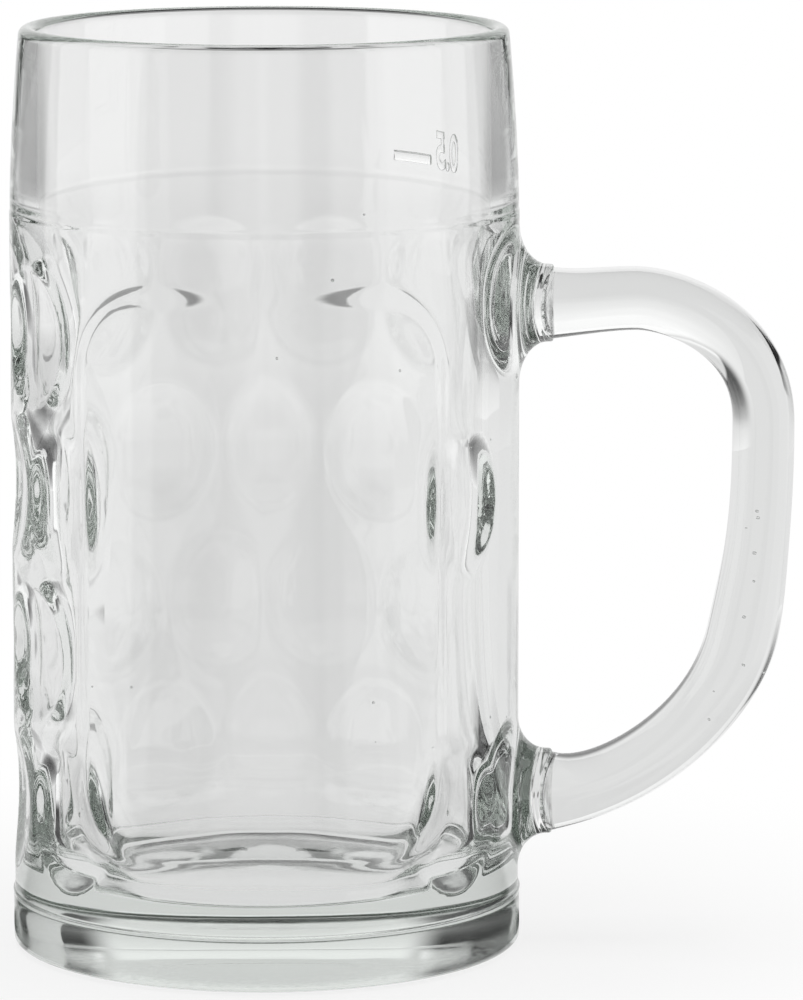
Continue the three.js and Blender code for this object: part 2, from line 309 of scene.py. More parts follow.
# Floor, whose matte shade with the shadow fades into white away from the mug
FLOOR_HALF_SIZE = 6000.0
FLOOR_Z = -0.2
FLOOR_GREY = 0.9
FLOOR_FADE_START = 40.0
FLOOR_FADE_END = 160.0
FLOOR_LEAST_WHITE = 0.85

# Lamp, world and camera; the lamp's and the camera's places are in metres
LAMP_PLACE = (0.0, 0.0, 0.75)
LAMP_AIM_HEIGHT = 0.08
LAMP_SIZE = 0.5
LAMP_WATTS = 4.0
ROOM_GLOW = 0.06
CAMERA_PLACE = (0.02324, -1.069, 0.2457)
CAMERA_TILT = 81.0
CAMERA_LENS = 227.9
CAMERA_SENSOR = 36.0
CAMERA_CLIP_END = 100.0
MOST_BOUNCES = 32
GLOSSY_BOUNCES = 24
TRANSPARENT_BOUNCES = 16
WHITE = (1.0, 1.0, 1.0, 1.0)

LIP_Z = MUG_HEIGHT - LIP_THICKNESS / 2


class NodeSheet:
    """Short calls that add and join the nodes of a tree."""

    def __init__(self, tree):
        self.tree = tree

    def add(self, kind, inputs=None, **settings):
        node = self.tree.nodes.new(kind)
        for key, value in settings.items():
            setattr(node, key, value)
        for key, value in (inputs or {}).items():
            self.feed(node.inputs[key], value)
        return node

    def feed(self, socket, value):
        if isinstance(value, bpy.types.NodeSocket):
            self.tree.links.new(value, socket)
        else:
            socket.default_value = value

    def math(self, operation, *values):
        node = self.add("ShaderNodeMath", operation=operation)
        for socket, value in zip(node.inputs, values):
            self.feed(socket, value)
        return node.outputs[0]

    def split(self, vector):
        return self.add("ShaderNodeSeparateXYZ", {0: vector}).outputs

    def ramp(self, value, low, high, start=0.0, end=1.0, kind="SMOOTHSTEP"):
        """Goes from start to end as the value goes from low to high."""
        span = {"Value": value, "From Min": low, "From Max": high, "To Min": start, "To Max": end}
        return self.add("ShaderNodeMapRange", span, interpolation_type=kind).outputs[0]


class GeometrySheet(NodeSheet):
    """A Geometry Nodes tree with named sizes."""

    def __init__(self, name):
        super().__init__(bpy.data.node_groups.new(name, "GeometryNodeTree"))
        self.tree.is_modifier = True
        face = self.tree.interface
        face.new_socket("Geometry", in_out="INPUT", socket_type="NodeSocketGeometry")
        face.new_socket("Geometry", in_out="OUTPUT", socket_type="NodeSocketGeometry")
        self.source = self.tree.nodes.new("NodeGroupInput")
        self.sink = self.tree.nodes.new("NodeGroupOutput")
        self.values = {}

    def size(self, name, value, kind="NodeSocketFloat"):
        socket = self.tree.interface.new_socket(name, in_out="INPUT", socket_type=kind)
        self.values[socket.identifier] = value
        return self.source.outputs[name]

    def length(self, name, millimetres):
        return self.size(name, millimetres * MM)

    def count(self, name, number):
        return self.size(name, number, "NodeSocketInt")

    def vector(self, operation, *values):
        node = self.add("ShaderNodeVectorMath", operation=operation)
        for socket, value in zip(node.inputs, values):
            self.feed(socket, value)
        return node.outputs[0]

    def scaled(self, vector, factor):
        node = self.add("ShaderNodeVectorMath", {0: vector, "Scale": factor}, operation="SCALE")
        return node.outputs[0]

    def join(self, x, y, z):
        return self.add("ShaderNodeCombineXYZ", {0: x, 1: y, 2: z}).outputs[0]

    def random(self, least, most, seed):
        node = self.add("FunctionNodeRandomValue", {"Seed": seed}, data_type="FLOAT")
        floats = [socket for socket in node.inputs if socket.type == "VALUE" and socket.enabled]
        self.feed(floats[0], least)
        self.feed(floats[1], most)
        return next(socket for socket in node.outputs if socket.enabled)

    def seeds(self, count, place, seed):
        """Tiny bubbles: hollow, so their faces look inwards."""
        points = self.add("GeometryNodePoints", {"Count": count, "Position": place}).outputs[0]
        ball = self.add("GeometryNodeMeshIcoSphere", {"Radius": 1.0, "Subdivisions": 2}).outputs[0]
        size = self.random(SEED_LEAST_RADIUS * MM, SEED_MOST_RADIUS * MM, seed)
        placing = {"Points": points, "Instance": ball, "Scale": self.join(size, size, size)}
        balls = self.add("GeometryNodeInstanceOnPoints", placing)
        solid = self.add("GeometryNodeRealizeInstances", {0: balls.outputs[0]})
        hollow = self.add("GeometryNodeFlipFaces", {0: solid.outputs[0]})
        return self.add("GeometryNodeSetShadeSmooth", {"Geometry": hollow.outputs[0]}).outputs[0]

    def finish(self, material, *parts):
        """Joins the parts, makes them real and gives them their material."""
        joined = self.add("GeometryNodeJoinGeometry")
        for part in parts:
            self.tree.links.new(part, joined.inputs[0])
        solid = self.add("GeometryNodeRealizeInstances", {0: joined.outputs[0]})
        dressed = self.add("GeometryNodeSetMaterial", {"Geometry": solid.outputs[0], "Material": material})
        self.feed(self.sink.inputs[0], dressed.outputs[0])

    def apply(self, piece, name):
        """Runs the tree on a piece and returns the result as a plain mesh piece."""
        modifier = piece.modifiers.new("shape", "NODES")
        modifier.node_group = self.tree
        for identifier, value in self.values.items():
            modifier[identifier] = value
        graph = bpy.context.evaluated_depsgraph_get()
        mesh = bpy.data.meshes.new_from_object(piece.evaluated_get(graph), depsgraph=graph)
        mesh.name = name
        piece.modifiers.clear()
        bpy.data.objects.remove(piece)
        return linked(name, mesh)


def linked(name, data):
    """An object at the origin, in the scene."""
    piece = bpy.data.objects.new(name, data)
    bpy.context.scene.collection.objects.link(piece)
    return piece


def mesh_piece(name, points, faces, material):
    """A smooth-shaded mesh object at the origin, from points in millimetres."""
    mesh = bpy.data.meshes.new(name)
    mesh.from_pydata((np.asarray(points) * MM).tolist(), [], faces)
    mesh.materials.append(material)
    mesh.validate()
    mesh.shade_smooth()
    return linked(name, mesh)


def blank_material(name):
    """A material with no nodes yet, and its tree."""
    material = bpy.data.materials.new(name)
    material.use_nodes = True
    material.node_tree.nodes.clear()
    return material, NodeSheet(material.node_tree)


def clear_glass():
    """Pressed glass: faintly wavy and fire-polished, scuffed where it stands, green in its thick parts."""
    material, sheet = blank_material("clear_glass")
    where = sheet.add("ShaderNodeTexCoord").outputs["Object"]
    wave_inputs = {"Vector": where, "Scale": WAVE_SCALE, "Detail": WAVE_DETAIL}
    waves = sheet.add("ShaderNodeTexNoise", wave_inputs).outputs["Fac"]
    ripple = sheet.add("ShaderNodeBump", {"Distance": WAVE_HEIGHT * MM, "Height": waves})
    scuff_inputs = {"Vector": where, "Scale": SCUFF_SCALE, "Detail": SCUFF_DETAIL}
    scuffs = sheet.add("ShaderNodeTexNoise", scuff_inputs).outputs["Fac"]
    low = sheet.ramp(sheet.split(where)["Z"], SCUFF_TOP * MM, 0.0, 0.0, SCUFF_ROUGHNESS, "LINEAR")
    shader = sheet.add(
        "ShaderNodeBsdfPrincipled",
        {
            "Base Color": WHITE,
            "Transmission Weight": 1.0,
            "IOR": GLASS_IOR,
            "Roughness": sheet.math("MULTIPLY", low, scuffs),
            "Normal": ripple.outputs["Normal"],
        },
    )
    tint = sheet.add("ShaderNodeVolumeAbsorption", {"Color": GLASS_TINT, "Density": GLASS_TINT_DENSITY})
    sheet.add("ShaderNodeOutputMaterial", {"Surface": shader.outputs[0], "Volume": tint.outputs[0]})
    return material


glass = clear_glass()


def band_radius(z):
    """The band is upright above the ring and draws in more and more towards the lip."""
    share = max(z - RING_Z, 0.0) / (MUG_HEIGHT - RING_Z)
    return BAND_BOTTOM_RADIUS + (BAND_TOP_RADIUS - BAND_BOTTOM_RADIUS) * share**BAND_CURVE


def arc(centre_r, centre_z, radius, start, end, steps, flatten=1.0):
    """Points along an arc; flatten is its height as a share of a round arc's."""
    return [
        (centre_r + radius * math.cos(a), centre_z + radius * flatten * math.sin(a))
        for a in np.radians(np.linspace(start, end, steps + 1))
    ]


def inner_radius(z):
    """The inside wall: corners of the plain section, rounded by a moving average."""
    heights = [FLOOR_THICKNESS, RING_Z - INNER_STEP_DROP, RING_Z, LIP_Z]
    radii = [
        BODY_RADIUS - LOW_WALL,
        BODY_RADIUS - BODY_WALL,
        BAND_BOTTOM_RADIUS - BAND_WALL,
        band_radius(LIP_Z) - LIP_THICKNESS,
    ]
    offsets = np.linspace(-SOFTENING_REACH, SOFTENING_REACH, SOFTENING_SAMPLES)
    weights = np.exp(-offsets * offsets)
    reach = INNER_WALL_SOFTNESS * min(1.0, (LIP_Z - z) / (2 * INNER_WALL_SOFTNESS))
    return float(np.sum(weights * np.interp(z + offsets * reach, heights, radii)) / np.sum(weights))


def wall_heights():
    """Heights of the rows of the dimpled wall, closer together at the panel's two ends."""
    near = PANEL_END_REACH
    heights = [FOOT_HEIGHT + FOOT_SHOULDER]
    for end, spacing in (
        (PANEL_BOTTOM_Z - near, ROW_SPACING),
        (PANEL_BOTTOM_Z + near, FINE_ROW_SPACING),
        (PANEL_TOP_Z - near, ROW_SPACING),
        (PANEL_TOP_Z + near, FINE_ROW_SPACING),
        (RING_Z - RING_HALF_HEIGHT - WALL_TOP_GAP, ROW_SPACING),
    ):
        steps = math.ceil((end - heights[-1]) / spacing)
        heights.extend(np.linspace(heights[-1], end, steps + 1)[1:])
    return heights


def foot_profile():
    """The hollow underside, the rounded heel, the foot and the bead at its top."""
    side = FOOT_RADIUS - FOOT_BEAD
    under = []
    for r in UNDERSIDE_RINGS:
        share = min(r / BEARING_RING_RADIUS, 1.0)
        under.append((r, UNDERSIDE_HOLLOW * (1 - share * share) ** 2))
    heel = arc(side - HEEL_DEPTH, HEEL_HEIGHT, HEEL_DEPTH, -90, 0, HEEL_STEPS, HEEL_HEIGHT / HEEL_DEPTH)
    foot = [(side, z) for z in FOOT_ROWS]
    bead = [(FOOT_RADIUS + out, FOOT_HEIGHT + up) for out, up in FOOT_BEAD_SECTION]
    return under + heel + foot + bead


def ring_profile():
    """The shallow groove where the dimpled wall meets the band."""
    ring = []
    for share in np.linspace(-1.0, 1.0, RING_ROWS):
        edge = BODY_RADIUS + (BAND_BOTTOM_RADIUS - BODY_RADIUS) * (share + 1) / 2
        ring.append((edge - RING_GROOVE * (1 - share * share) ** 2, RING_Z + RING_HALF_HEIGHT * share))
    return ring


def inside_profile():
    """From under the lip down the inside, round the corner and to the middle of the floor."""
    corner_z = FLOOR_THICKNESS + FLOOR_CORNER_RADIUS
    corner_r = inner_radius(corner_z) - FLOOR_CORNER_RADIUS
    rows = np.linspace(LIP_Z - LIP_GAP, corner_z + FLOOR_CORNER_GAP, INSIDE_ROWS)
    inside = [(inner_radius(z), z) for z in rows]
    corner = arc(corner_r, corner_z, FLOOR_CORNER_RADIUS, 0, -90, FLOOR_CORNER_STEPS)
    return inside + corner + [(r, FLOOR_THICKNESS) for r in FLOOR_RINGS]


def vessel_profile():
    """The section, as radius and height, from underneath over the lip to the floor; and the wall's rows."""
    foot = foot_profile()
    wall = [(BODY_RADIUS, z) for z in wall_heights()]
    band_rows = np.linspace(RING_Z + BAND_START_GAP, LIP_Z - LIP_GAP, BAND_ROWS)
    band = [(band_radius(z), z) for z in band_rows]
    half_lip = LIP_THICKNESS / 2
    lip = arc(band_radius(LIP_Z) - half_lip, LIP_Z, half_lip, 0, 180, LIP_STEPS)
    profile = foot + wall + ring_profile() + band + lip + inside_profile()
    return np.array(profile), range(len(foot), len(foot) + len(wall))


def on_body(side, height):
    """Points on the round body, from their place along its round and their height."""
    turn = side / BODY_RADIUS
    return np.stack([BODY_RADIUS * np.cos(turn), BODY_RADIUS * np.sin(turn), height], 1)


def boss_rings(edge, centre_z, neck_half_height, flare):
    """Rings of points from a patch edge on the round body, over the flare, to the middle of the seam face."""
    across = BODY_RADIUS * np.arctan2(edge[:, 1], edge[:, 0])
    up = edge[:, 2] - centre_z
    turn = np.arctan2(up / np.abs(up).max(), across / np.abs(across).max())
    neck_half_width = HANDLE_HALF_DEPTH + BOSS_LIP
    base_side = BODY_RADIUS * np.arcsin((neck_half_width + flare) / BODY_RADIUS) * np.cos(turn)
    base_up = (neck_half_height + flare) * np.sin(turn)
    rings = []
    for share in PATCH_BLEND_SHARES:
        side = across + (base_side - across) * share
        rings.append(on_body(side, centre_z + up + (base_up - up) * share))
    for step in range(BOSS_FLARE_STEPS + 1):
        angle = math.pi / 2 * step / BOSS_FLARE_STEPS
        spread = flare * (1 - math.sin(angle))
        side = (neck_half_width + spread) * np.cos(turn)
        height = (neck_half_height + spread) * np.sin(turn)
        body_x = np.sqrt(BODY_RADIUS**2 - side**2)
        land_x = SEAM_X - BOSS_LAND - SEAM_SADDLE * np.cos(turn) ** 2
        share = 1 - math.cos(angle)
        rings.append(np.stack([body_x + (land_x - body_x) * share, side, centre_z + height], 1))
    for inset, back in BOSS_END_SECTION:
        side = (neck_half_width - inset) * np.cos(turn)
        height = (neck_half_height - inset) * np.sin(turn)
        face_x = SEAM_X - back - SEAM_SADDLE * (side / neck_half_width) ** 2
        rings.append(np.stack([face_x, side, centre_z + height], 1))
    return rings, np.array([[SEAM_X, 0.0, centre_z]])


def boss_patches(profile, wall_rows):
    """The first and last row of each boss's patch, with the boss's height, half height and flare."""
    patches = []
    for centre_z, (low, high), half_thickness, flare in (
        (LOWER_BOSS_Z, LOWER_PATCH, LOWER_END_HALF_THICKNESS, LOWER_BOSS_FLARE),
        (UPPER_BOSS_Z, UPPER_PATCH, UPPER_END_HALF_THICKNESS, UPPER_BOSS_FLARE),
    ):
        first = min(wall_rows, key=lambda row: abs(profile[row, 1] - low))
        last = min(wall_rows, key=lambda row: abs(profile[row, 1] - high))
        patches.append((first, last, centre_z, half_thickness + BOSS_LIP, flare))
    return patches


def turned_points(profile):
    """The profile's points turned about the axis: one at each end, and a ring for each row between."""
    angles = np.arange(COLUMNS) * 2 * math.pi / COLUMNS
    points = [np.array([[0.0, 0.0, profile[0, 1]]])]
    for r, z in profile[1:-1]:
        points.append(np.stack([r * np.cos(angles), r * np.sin(angles), np.full(COLUMNS, z)], 1))
    points.append(np.array([[0.0, 0.0, profile[-1, 1]]]))
    return np.concatenate(points)


def at(row, column):
    """The number of a turned point."""
    return 1 + (row - 1) * COLUMNS + column % COLUMNS


def turned_faces(rows, last_point, patches):
    """The faces between the turned points, left out where a boss's patch is."""
    faces = []
    for column in range(COLUMNS):
        faces.append((0, at(1, column + 1), at(1, column)))
        faces.append((last_point, at(rows - 2, column), at(rows - 2, column + 1)))
    for row in range(1, rows - 2):
        beside_boss = any(first <= row < last for first, last, *_ in patches)
        for column in range(COLUMNS):
            near = column < PATCH_COLUMNS or column >= COLUMNS - PATCH_COLUMNS
            if not (near and beside_boss):
                lower = (at(row, column), at(row, column + 1))
                upper = (at(row + 1, column + 1), at(row + 1, column))
                faces.append(lower + upper)
    return faces


def patch_loop(first, last):
    """The turned points round a patch, in order."""
    side = PATCH_COLUMNS
    loop = [at(first, column) for column in range(-side, side)]
    loop += [at(row, side) for row in range(first, last)]
    loop += [at(last, column) for column in range(side, -side, -1)]
    loop += [at(row, -side) for row in range(last, first, -1)]
    return loop


def vessel():
    """The smooth vessel with its two bosses, as one closed mesh before the mould's dimples are pressed in."""
    profile, wall_rows = vessel_profile()
    patches = boss_patches(profile, wall_rows)
    points = turned_points(profile)
    faces = turned_faces(len(profile), len(points) - 1, patches)
    for first, last, centre_z, half_height, flare in patches:
        previous = patch_loop(first, last)
        count = len(previous)
        rings, tip = boss_rings(points[previous], centre_z, half_height, flare)
        for ring in rings:
            start = len(points)
            points = np.concatenate([points, ring])
            current = list(range(start, start + count))
            for m in range(count):
                n = (m + 1) % count
                faces.append((previous[m], previous[n], current[n], current[m]))
            previous = current
        points = np.concatenate([points, tip])
        for m in range(count):
            faces.append((previous[m], previous[(m + 1) % count], len(points) - 1))
    used = np.zeros(len(points), bool)
    for face in faces:
        used[list(face)] = True
    place = np.cumsum(used) - 1
    faces = [tuple(int(place[i]) for i in face) for face in faces]
    return mesh_piece("mug_body_smooth", points[used], faces, glass)


def press_sizes(sheet):
    """The named inputs of the dimple press."""
    return SimpleNamespace(
        rows=sheet.count("Rows", DIMPLE_ROWS),
        count=sheet.count("Dimples round", DIMPLES_ROUND),
        radius=sheet.length("Body radius", BODY_RADIUS),
        lowest=sheet.length("Lowest row", LOWEST_ROW_Z),
        pitch=sheet.length("Row pitch", ROW_PITCH),
        half_width=sheet.length("Dimple half width", DIMPLE_HALF_WIDTH),
        half_height=sheet.length("Dimple half height", DIMPLE_HALF_HEIGHT),
        depth=sheet.length("Dimple depth", DIMPLE_DEPTH),
        softness=sheet.size("Dimple edge softness", DIMPLE_EDGE_SOFTNESS),
        swell_share=sheet.size("Share on the inside", SWELL_SHARE),
        swell_spread=sheet.size("Spread on the inside", SWELL_SPREAD),
        swell_stretch=sheet.size("Floor scallop stretch", SWELL_FOOT_STRETCH),
        panel_clear=sheet.size("Panel clear angle", math.asin(PANEL_CLEAR_WIDTH / BODY_RADIUS)),
        handle_clear=sheet.size("Handle clear angle", math.radians(HANDLE_SIDE_CLEAR_ANGLE)),
        panel_half_width=sheet.length("Panel half width", PANEL_HALF_WIDTH),
        panel_bottom=sheet.length("Panel bottom", PANEL_BOTTOM_Z),
        panel_top=sheet.length("Panel top", PANEL_TOP_Z),
        panel_corner=sheet.length("Panel corner radius", PANEL_CORNER_RADIUS),
        panel_raise=sheet.length("Panel raise", PANEL_RAISE),
        side_ease=sheet.size("Panel side ease", PANEL_SIDE_EASE),
        reach_in=sheet.length("Dimple fade into the panel", PANEL_BESIDE_REACH_IN),
        reach_out=sheet.length("Dimple fade beside the panel", PANEL_BESIDE_REACH_OUT),
        side_softness=sheet.length("Panel side softness", PANEL_SIDE_SOFTNESS),
        end_softness=sheet.length("Panel end softness", PANEL_END_SOFTNESS),
        seeds=sheet.count("Seeds", WALL_SEEDS),
        material=sheet.size("Glass", glass, "NodeSocketMaterial"),
    )


def dimple_pattern(sheet, size):
    """A point for each dimple, but none on the panel or by the handle. Turns are counted from the front."""
    math_ = sheet.math
    line = sheet.add("GeometryNodeMeshLine", {"Count": math_("MULTIPLY", size.rows, size.count)})
    index = sheet.add("GeometryNodeInputIndex").outputs[0]
    row = math_("FLOOR", math_("DIVIDE", math_("ADD", index, 0.5), size.count))
    column = math_("SUBTRACT", index, math_("MULTIPLY", row, size.count))
    step = math_("DIVIDE", 2 * math.pi, size.count)
    shift = math_("MULTIPLY", math_("MODULO", row, 2.0), 0.5)
    from_back = math_("MULTIPLY", math_("ADD", column, shift), step)
    turn = math_("WRAP", math_("ADD", math.pi, from_back), math.pi, -math.pi)
    place = sheet.join(
        math_("MULTIPLY", size.radius, math_("SINE", turn)),
        math_("MULTIPLY", size.radius, math_("MULTIPLY", math_("COSINE", turn), -1.0)),
        math_("ADD", size.lowest, math_("MULTIPLY", row, size.pitch)),
    )
    on_panel = math_("LESS_THAN", math_("ABSOLUTE", turn), size.panel_clear)
    from_handle = math_("ABSOLUTE", math_("SUBTRACT", turn, math.pi / 2))
    by_handle = math_("LESS_THAN", from_handle, size.handle_clear)
    stored = sheet.add(
        "GeometryNodeStoreNamedAttribute",
        {"Geometry": line.outputs[0], "Name": "dimple_place", "Value": place},
        data_type="FLOAT_VECTOR",
        domain="POINT",
    )
    kept = sheet.add(
        "GeometryNodeDeleteGeometry",
        {"Geometry": stored.outputs[0], "Selection": math_("MAXIMUM", on_panel, by_handle)},
        domain="POINT",
    )
    recall = {"Name": "dimple_place"}
    recalled = sheet.add("GeometryNodeInputNamedAttribute", recall, data_type="FLOAT_VECTOR")
    moving = {"Geometry": kept.outputs[0], "Position": recalled.outputs[0]}
    return sheet.add("GeometryNodeSetPosition", moving).outputs[0]


def wall_place(sheet, size):
    """Where a point of the wall is: its height, its reach from the axis and its turn from the front."""
    math_ = sheet.math
    position = sheet.add("GeometryNodeInputPosition").outputs[0]
    x, y, z = sheet.split(position)
    direction = sheet.vector("NORMALIZE", sheet.join(x, y, 0.0))
    return SimpleNamespace(
        position=position,
        z=z,
        reach=math_("SQRT", math_("ADD", math_("MULTIPLY", x, x), math_("MULTIPLY", y, y))),
        turn=math_("ARCTAN2", x, math_("MULTIPLY", y, -1.0)),
        direction=direction,
        on_round=sheet.vector("ADD", sheet.scaled(direction, size.radius), sheet.join(0.0, 0.0, z)),
    )


def nearest_dimple(sheet, size, wall):
    """The height of the nearest dimple, and how far across it the point is, as a share of its half width."""
    math_ = sheet.math
    pattern = dimple_pattern(sheet, size)
    finding = {"Geometry": pattern, "Sample Position": wall.on_round}
    nearest = sheet.add("GeometryNodeSampleNearest", finding, domain="POINT")
    centre = sheet.add(
        "GeometryNodeSampleIndex",
        {"Geometry": pattern, "Value": wall.position, "Index": nearest.outputs[0]},
        data_type="FLOAT_VECTOR",
        domain="POINT",
    )
    x, y, z = sheet.split(centre.outputs[0])
    turn = math_("ARCTAN2", x, math_("MULTIPLY", y, -1.0))
    apart = math_("WRAP", math_("SUBTRACT", wall.turn, turn), math.pi, -math.pi)
    across = math_("DIVIDE", math_("MULTIPLY", size.radius, apart), size.half_width)
    return SimpleNamespace(z=z, across_squared=math_("MULTIPLY", across, across))


def away_from(sheet, size, dimple, z):
    """The square of the distance from a dimple's centre, one at its oval edge."""
    up = sheet.math("DIVIDE", sheet.math("SUBTRACT", z, dimple.z), size.half_height)
    return sheet.math("ADD", dimple.across_squared, sheet.math("MULTIPLY", up, up))


def front_panel(sheet, size, wall):
    """How far the panel stands proud, and a fade for the dimples: none on the panel, full beside it."""
    math_ = sheet.math
    side = math_("ABSOLUTE", math_("MULTIPLY", size.radius, wall.turn))
    middle = math_("MULTIPLY", math_("ADD", size.panel_bottom, size.panel_top), 0.5)
    half_height = math_("MULTIPLY", math_("SUBTRACT", size.panel_top, size.panel_bottom), 0.5)
    up = math_("ABSOLUTE", math_("SUBTRACT", wall.z, middle))
    out_side = math_("SUBTRACT", side, math_("SUBTRACT", size.panel_half_width, size.panel_corner))
    out_up = math_("SUBTRACT", up, math_("SUBTRACT", half_height, size.panel_corner))
    far_side = math_("MAXIMUM", out_side, 0.0)
    far_up = math_("MAXIMUM", out_up, 0.0)
    squares = math_("ADD", math_("MULTIPLY", far_side, far_side), math_("MULTIPLY", far_up, far_up))
    far = math_("SQRT", squares)
    within = math_("MINIMUM", math_("MAXIMUM", out_side, out_up), 0.0)
    edge = math_("SUBTRACT", math_("ADD", far, within), size.panel_corner)
    softness = sheet.ramp(out_up, 0.0, size.panel_corner, size.side_softness, size.end_softness)
    half_softness = math_("MULTIPLY", softness, 0.5)
    field = sheet.ramp(edge, math_("MULTIPLY", softness, -0.5), half_softness, 1.0, 0.0)
    sideways = math_("MINIMUM", math_("DIVIDE", side, size.panel_half_width), 1.0)
    ease = math_("SUBTRACT", 1.0, math_("MULTIPLY", size.side_ease, math_("MULTIPLY", sideways, sideways)))
    crown = math_("MULTIPLY", size.panel_raise, math_("MULTIPLY", sideways, ease))
    beside = sheet.ramp(edge, math_("MULTIPLY", size.reach_in, -1.0), size.reach_out)
    return math_("MULTIPLY", crown, field), beside


def outside_press(sheet, size, wall, dimple, outside):
    """How far the outside goes in: the dimples' bowls, less the panel's raise."""
    math_ = sheet.math
    raised, beside = front_panel(sheet, size, wall)
    bowl = math_("SUBTRACT", 1.0, away_from(sheet, size, dimple, wall.z))
    pressed = math_("MULTIPLY", size.depth, math_("SMOOTH_MAX", bowl, 0.0, size.softness))
    depth = math_("SUBTRACT", math_("MULTIPLY", pressed, beside), raised)
    above = math_("GREATER_THAN", wall.z, (FOOT_HEIGHT + FOOT_SHOULDER - WALL_BOTTOM_MARGIN) * MM)
    below = math_("LESS_THAN", wall.z, (RING_Z - WALL_TOP_MARGIN) * MM)
    return math_("MULTIPLY", math_("MULTIPLY", depth, outside), math_("MULTIPLY", above, below)), beside


def inside_press(sheet, size, wall, dimple, outside, beside):
    """How far the inside goes in: wide soft swellings, stretched to the floor and gone past its corner."""
    math_ = sheet.math
    under_row = math_("MINIMUM", math_("SUBTRACT", wall.z, size.lowest), 0.0)
    lift = math_("MULTIPLY", under_row, math_("SUBTRACT", 1.0, size.swell_stretch))
    away = away_from(sheet, size, dimple, math_("SUBTRACT", wall.z, lift))
    spread = math_("MULTIPLY", size.swell_spread, size.swell_spread)
    swell = math_("MAXIMUM", math_("SUBTRACT", 1.0, math_("DIVIDE", away, spread)), 0.0)
    height = math_("MULTIPLY", size.depth, size.swell_share)
    swell = math_("MULTIPLY", math_("MULTIPLY", swell, swell), height)
    swell = math_("MULTIPLY", swell, beside)
    gone = math_("SUBTRACT", size.radius, SWELL_FADE_END * MM)
    full = math_("SUBTRACT", size.radius, SWELL_FADE_START * MM)
    corner = sheet.ramp(wall.reach, gone, full)
    over_floor = math_("GREATER_THAN", wall.z, (FLOOR_THICKNESS - FLOOR_MARGIN) * MM)
    inside = math_("MULTIPLY", math_("SUBTRACT", 1.0, outside), over_floor)
    return math_("MULTIPLY", math_("MULTIPLY", swell, corner), inside)


def wall_seeds(sheet, size):
    """Bubbles at random places in the dimpled wall."""
    math_ = sheet.math
    seed = WALL_RANDOM_SEED
    turn = sheet.random(-math.pi, math.pi, seed)
    depth = sheet.random(WALL_SEED_LEAST_DEPTH * MM, WALL_SEED_MOST_DEPTH * MM, seed + 1)
    reach = math_("SUBTRACT", size.radius, depth)
    place = sheet.join(
        math_("MULTIPLY", reach, math_("SINE", turn)),
        math_("MULTIPLY", reach, math_("COSINE", turn)),
        sheet.random(WALL_SEED_LOW_Z * MM, WALL_SEED_HIGH_Z * MM, seed + 2),
    )
    return sheet.seeds(size.seeds, place, seed + 3)


def dimple_press():
    """A tree that presses the rows of dimples and the front panel into the round wall."""
    sheet = GeometrySheet("dimple_press")
    size = press_sizes(sheet)
    math_ = sheet.math
    wall = wall_place(sheet, size)
    dimple = nearest_dimple(sheet, size, wall)
    outside = math_("GREATER_THAN", wall.reach, math_("SUBTRACT", size.radius, OUTSIDE_MARGIN * MM))
    outer, beside = outside_press(sheet, size, wall, dimple, outside)
    inner = inside_press(sheet, size, wall, dimple, outside, beside)
    offset = sheet.scaled(wall.direction, math_("MULTIPLY", math_("ADD", outer, inner), -1.0))
    moving = {"Geometry": sheet.source.outputs[0], "Offset": offset}
    shaped = sheet.add("GeometryNodeSetPosition", moving).outputs[0]
    sheet.finish(size.material, shaped, wall_seeds(sheet, size))
    return sheet


def handle_knots():
    """Places in X and Z on the handle's centre line, each with the pull before it and the one after it."""
    start_x = SEAM_X - SEAM_OVERLAP
    arm_x = SEAM_X + UPPER_ARM_LENGTH
    arm_z = UPPER_BOSS_Z + UPPER_ARM_RISE
    arm_pull = UPPER_ARM_LENGTH * UPPER_ARM_PULL
    grip_x = SEAM_X + GRIP_OFFSET
    grip_z = arm_z - GRIP_TOP_DROP
    foot_x = grip_x - GRIP_FOOT_INSET
    foot_z = LOWER_BOSS_Z + GRIP_FOOT_RISE
    foot_pull = math.hypot(foot_x - SEAM_X, GRIP_FOOT_RISE) * GRIP_FOOT_PULL
    lean = math.radians(GRIP_FOOT_LEAN_ANGLE)
    pull_x = foot_pull * math.sin(lean)
    pull_z = foot_pull * math.cos(lean)
    elbow_x = arm_x + (grip_x - arm_x) * ELBOW_ARM_PULL
    elbow_z = grip_z + GRIP_TOP_DROP * ELBOW_GRIP_PULL
    grip_pull = (grip_z - foot_z) * GRIP_PULL
    end_x = SEAM_X + (foot_x - SEAM_X) * LOWER_ARM_PULL
    return (
        ((start_x, UPPER_BOSS_Z), (start_x, UPPER_BOSS_Z), (SEAM_X + arm_pull, UPPER_BOSS_Z)),
        ((arm_x, arm_z), (arm_x - arm_pull, arm_z), (elbow_x, arm_z)),
        ((grip_x, grip_z), (grip_x, elbow_z), (grip_x, grip_z - grip_pull)),
        ((foot_x, foot_z), (foot_x + pull_x, foot_z + pull_z), (foot_x - pull_x, foot_z - pull_z)),
        ((start_x, LOWER_BOSS_Z), (end_x, LOWER_BOSS_Z), (start_x, LOWER_BOSS_Z)),
    )


def handle_path():
    """The handle's centre line as a curve of four spans from the upper seam to the lower one."""
    knots = handle_knots()
    curve = bpy.data.curves.new("handle_path", "CURVE")
    curve.dimensions = "3D"
    curve.resolution_u = HANDLE_PATH_STEPS
    spline = curve.splines.new("BEZIER")
    spline.bezier_points.add(len(knots) - 1)
    for point, (place, before, after) in zip(spline.bezier_points, knots):
        point.handle_left_type = "FREE"
        point.handle_right_type = "FREE"
        point.co = (place[0] * MM, 0.0, place[1] * MM)
        point.handle_left = (before[0] * MM, 0.0, before[1] * MM)
        point.handle_right = (after[0] * MM, 0.0, after[1] * MM)
    return linked("handle_path", curve)


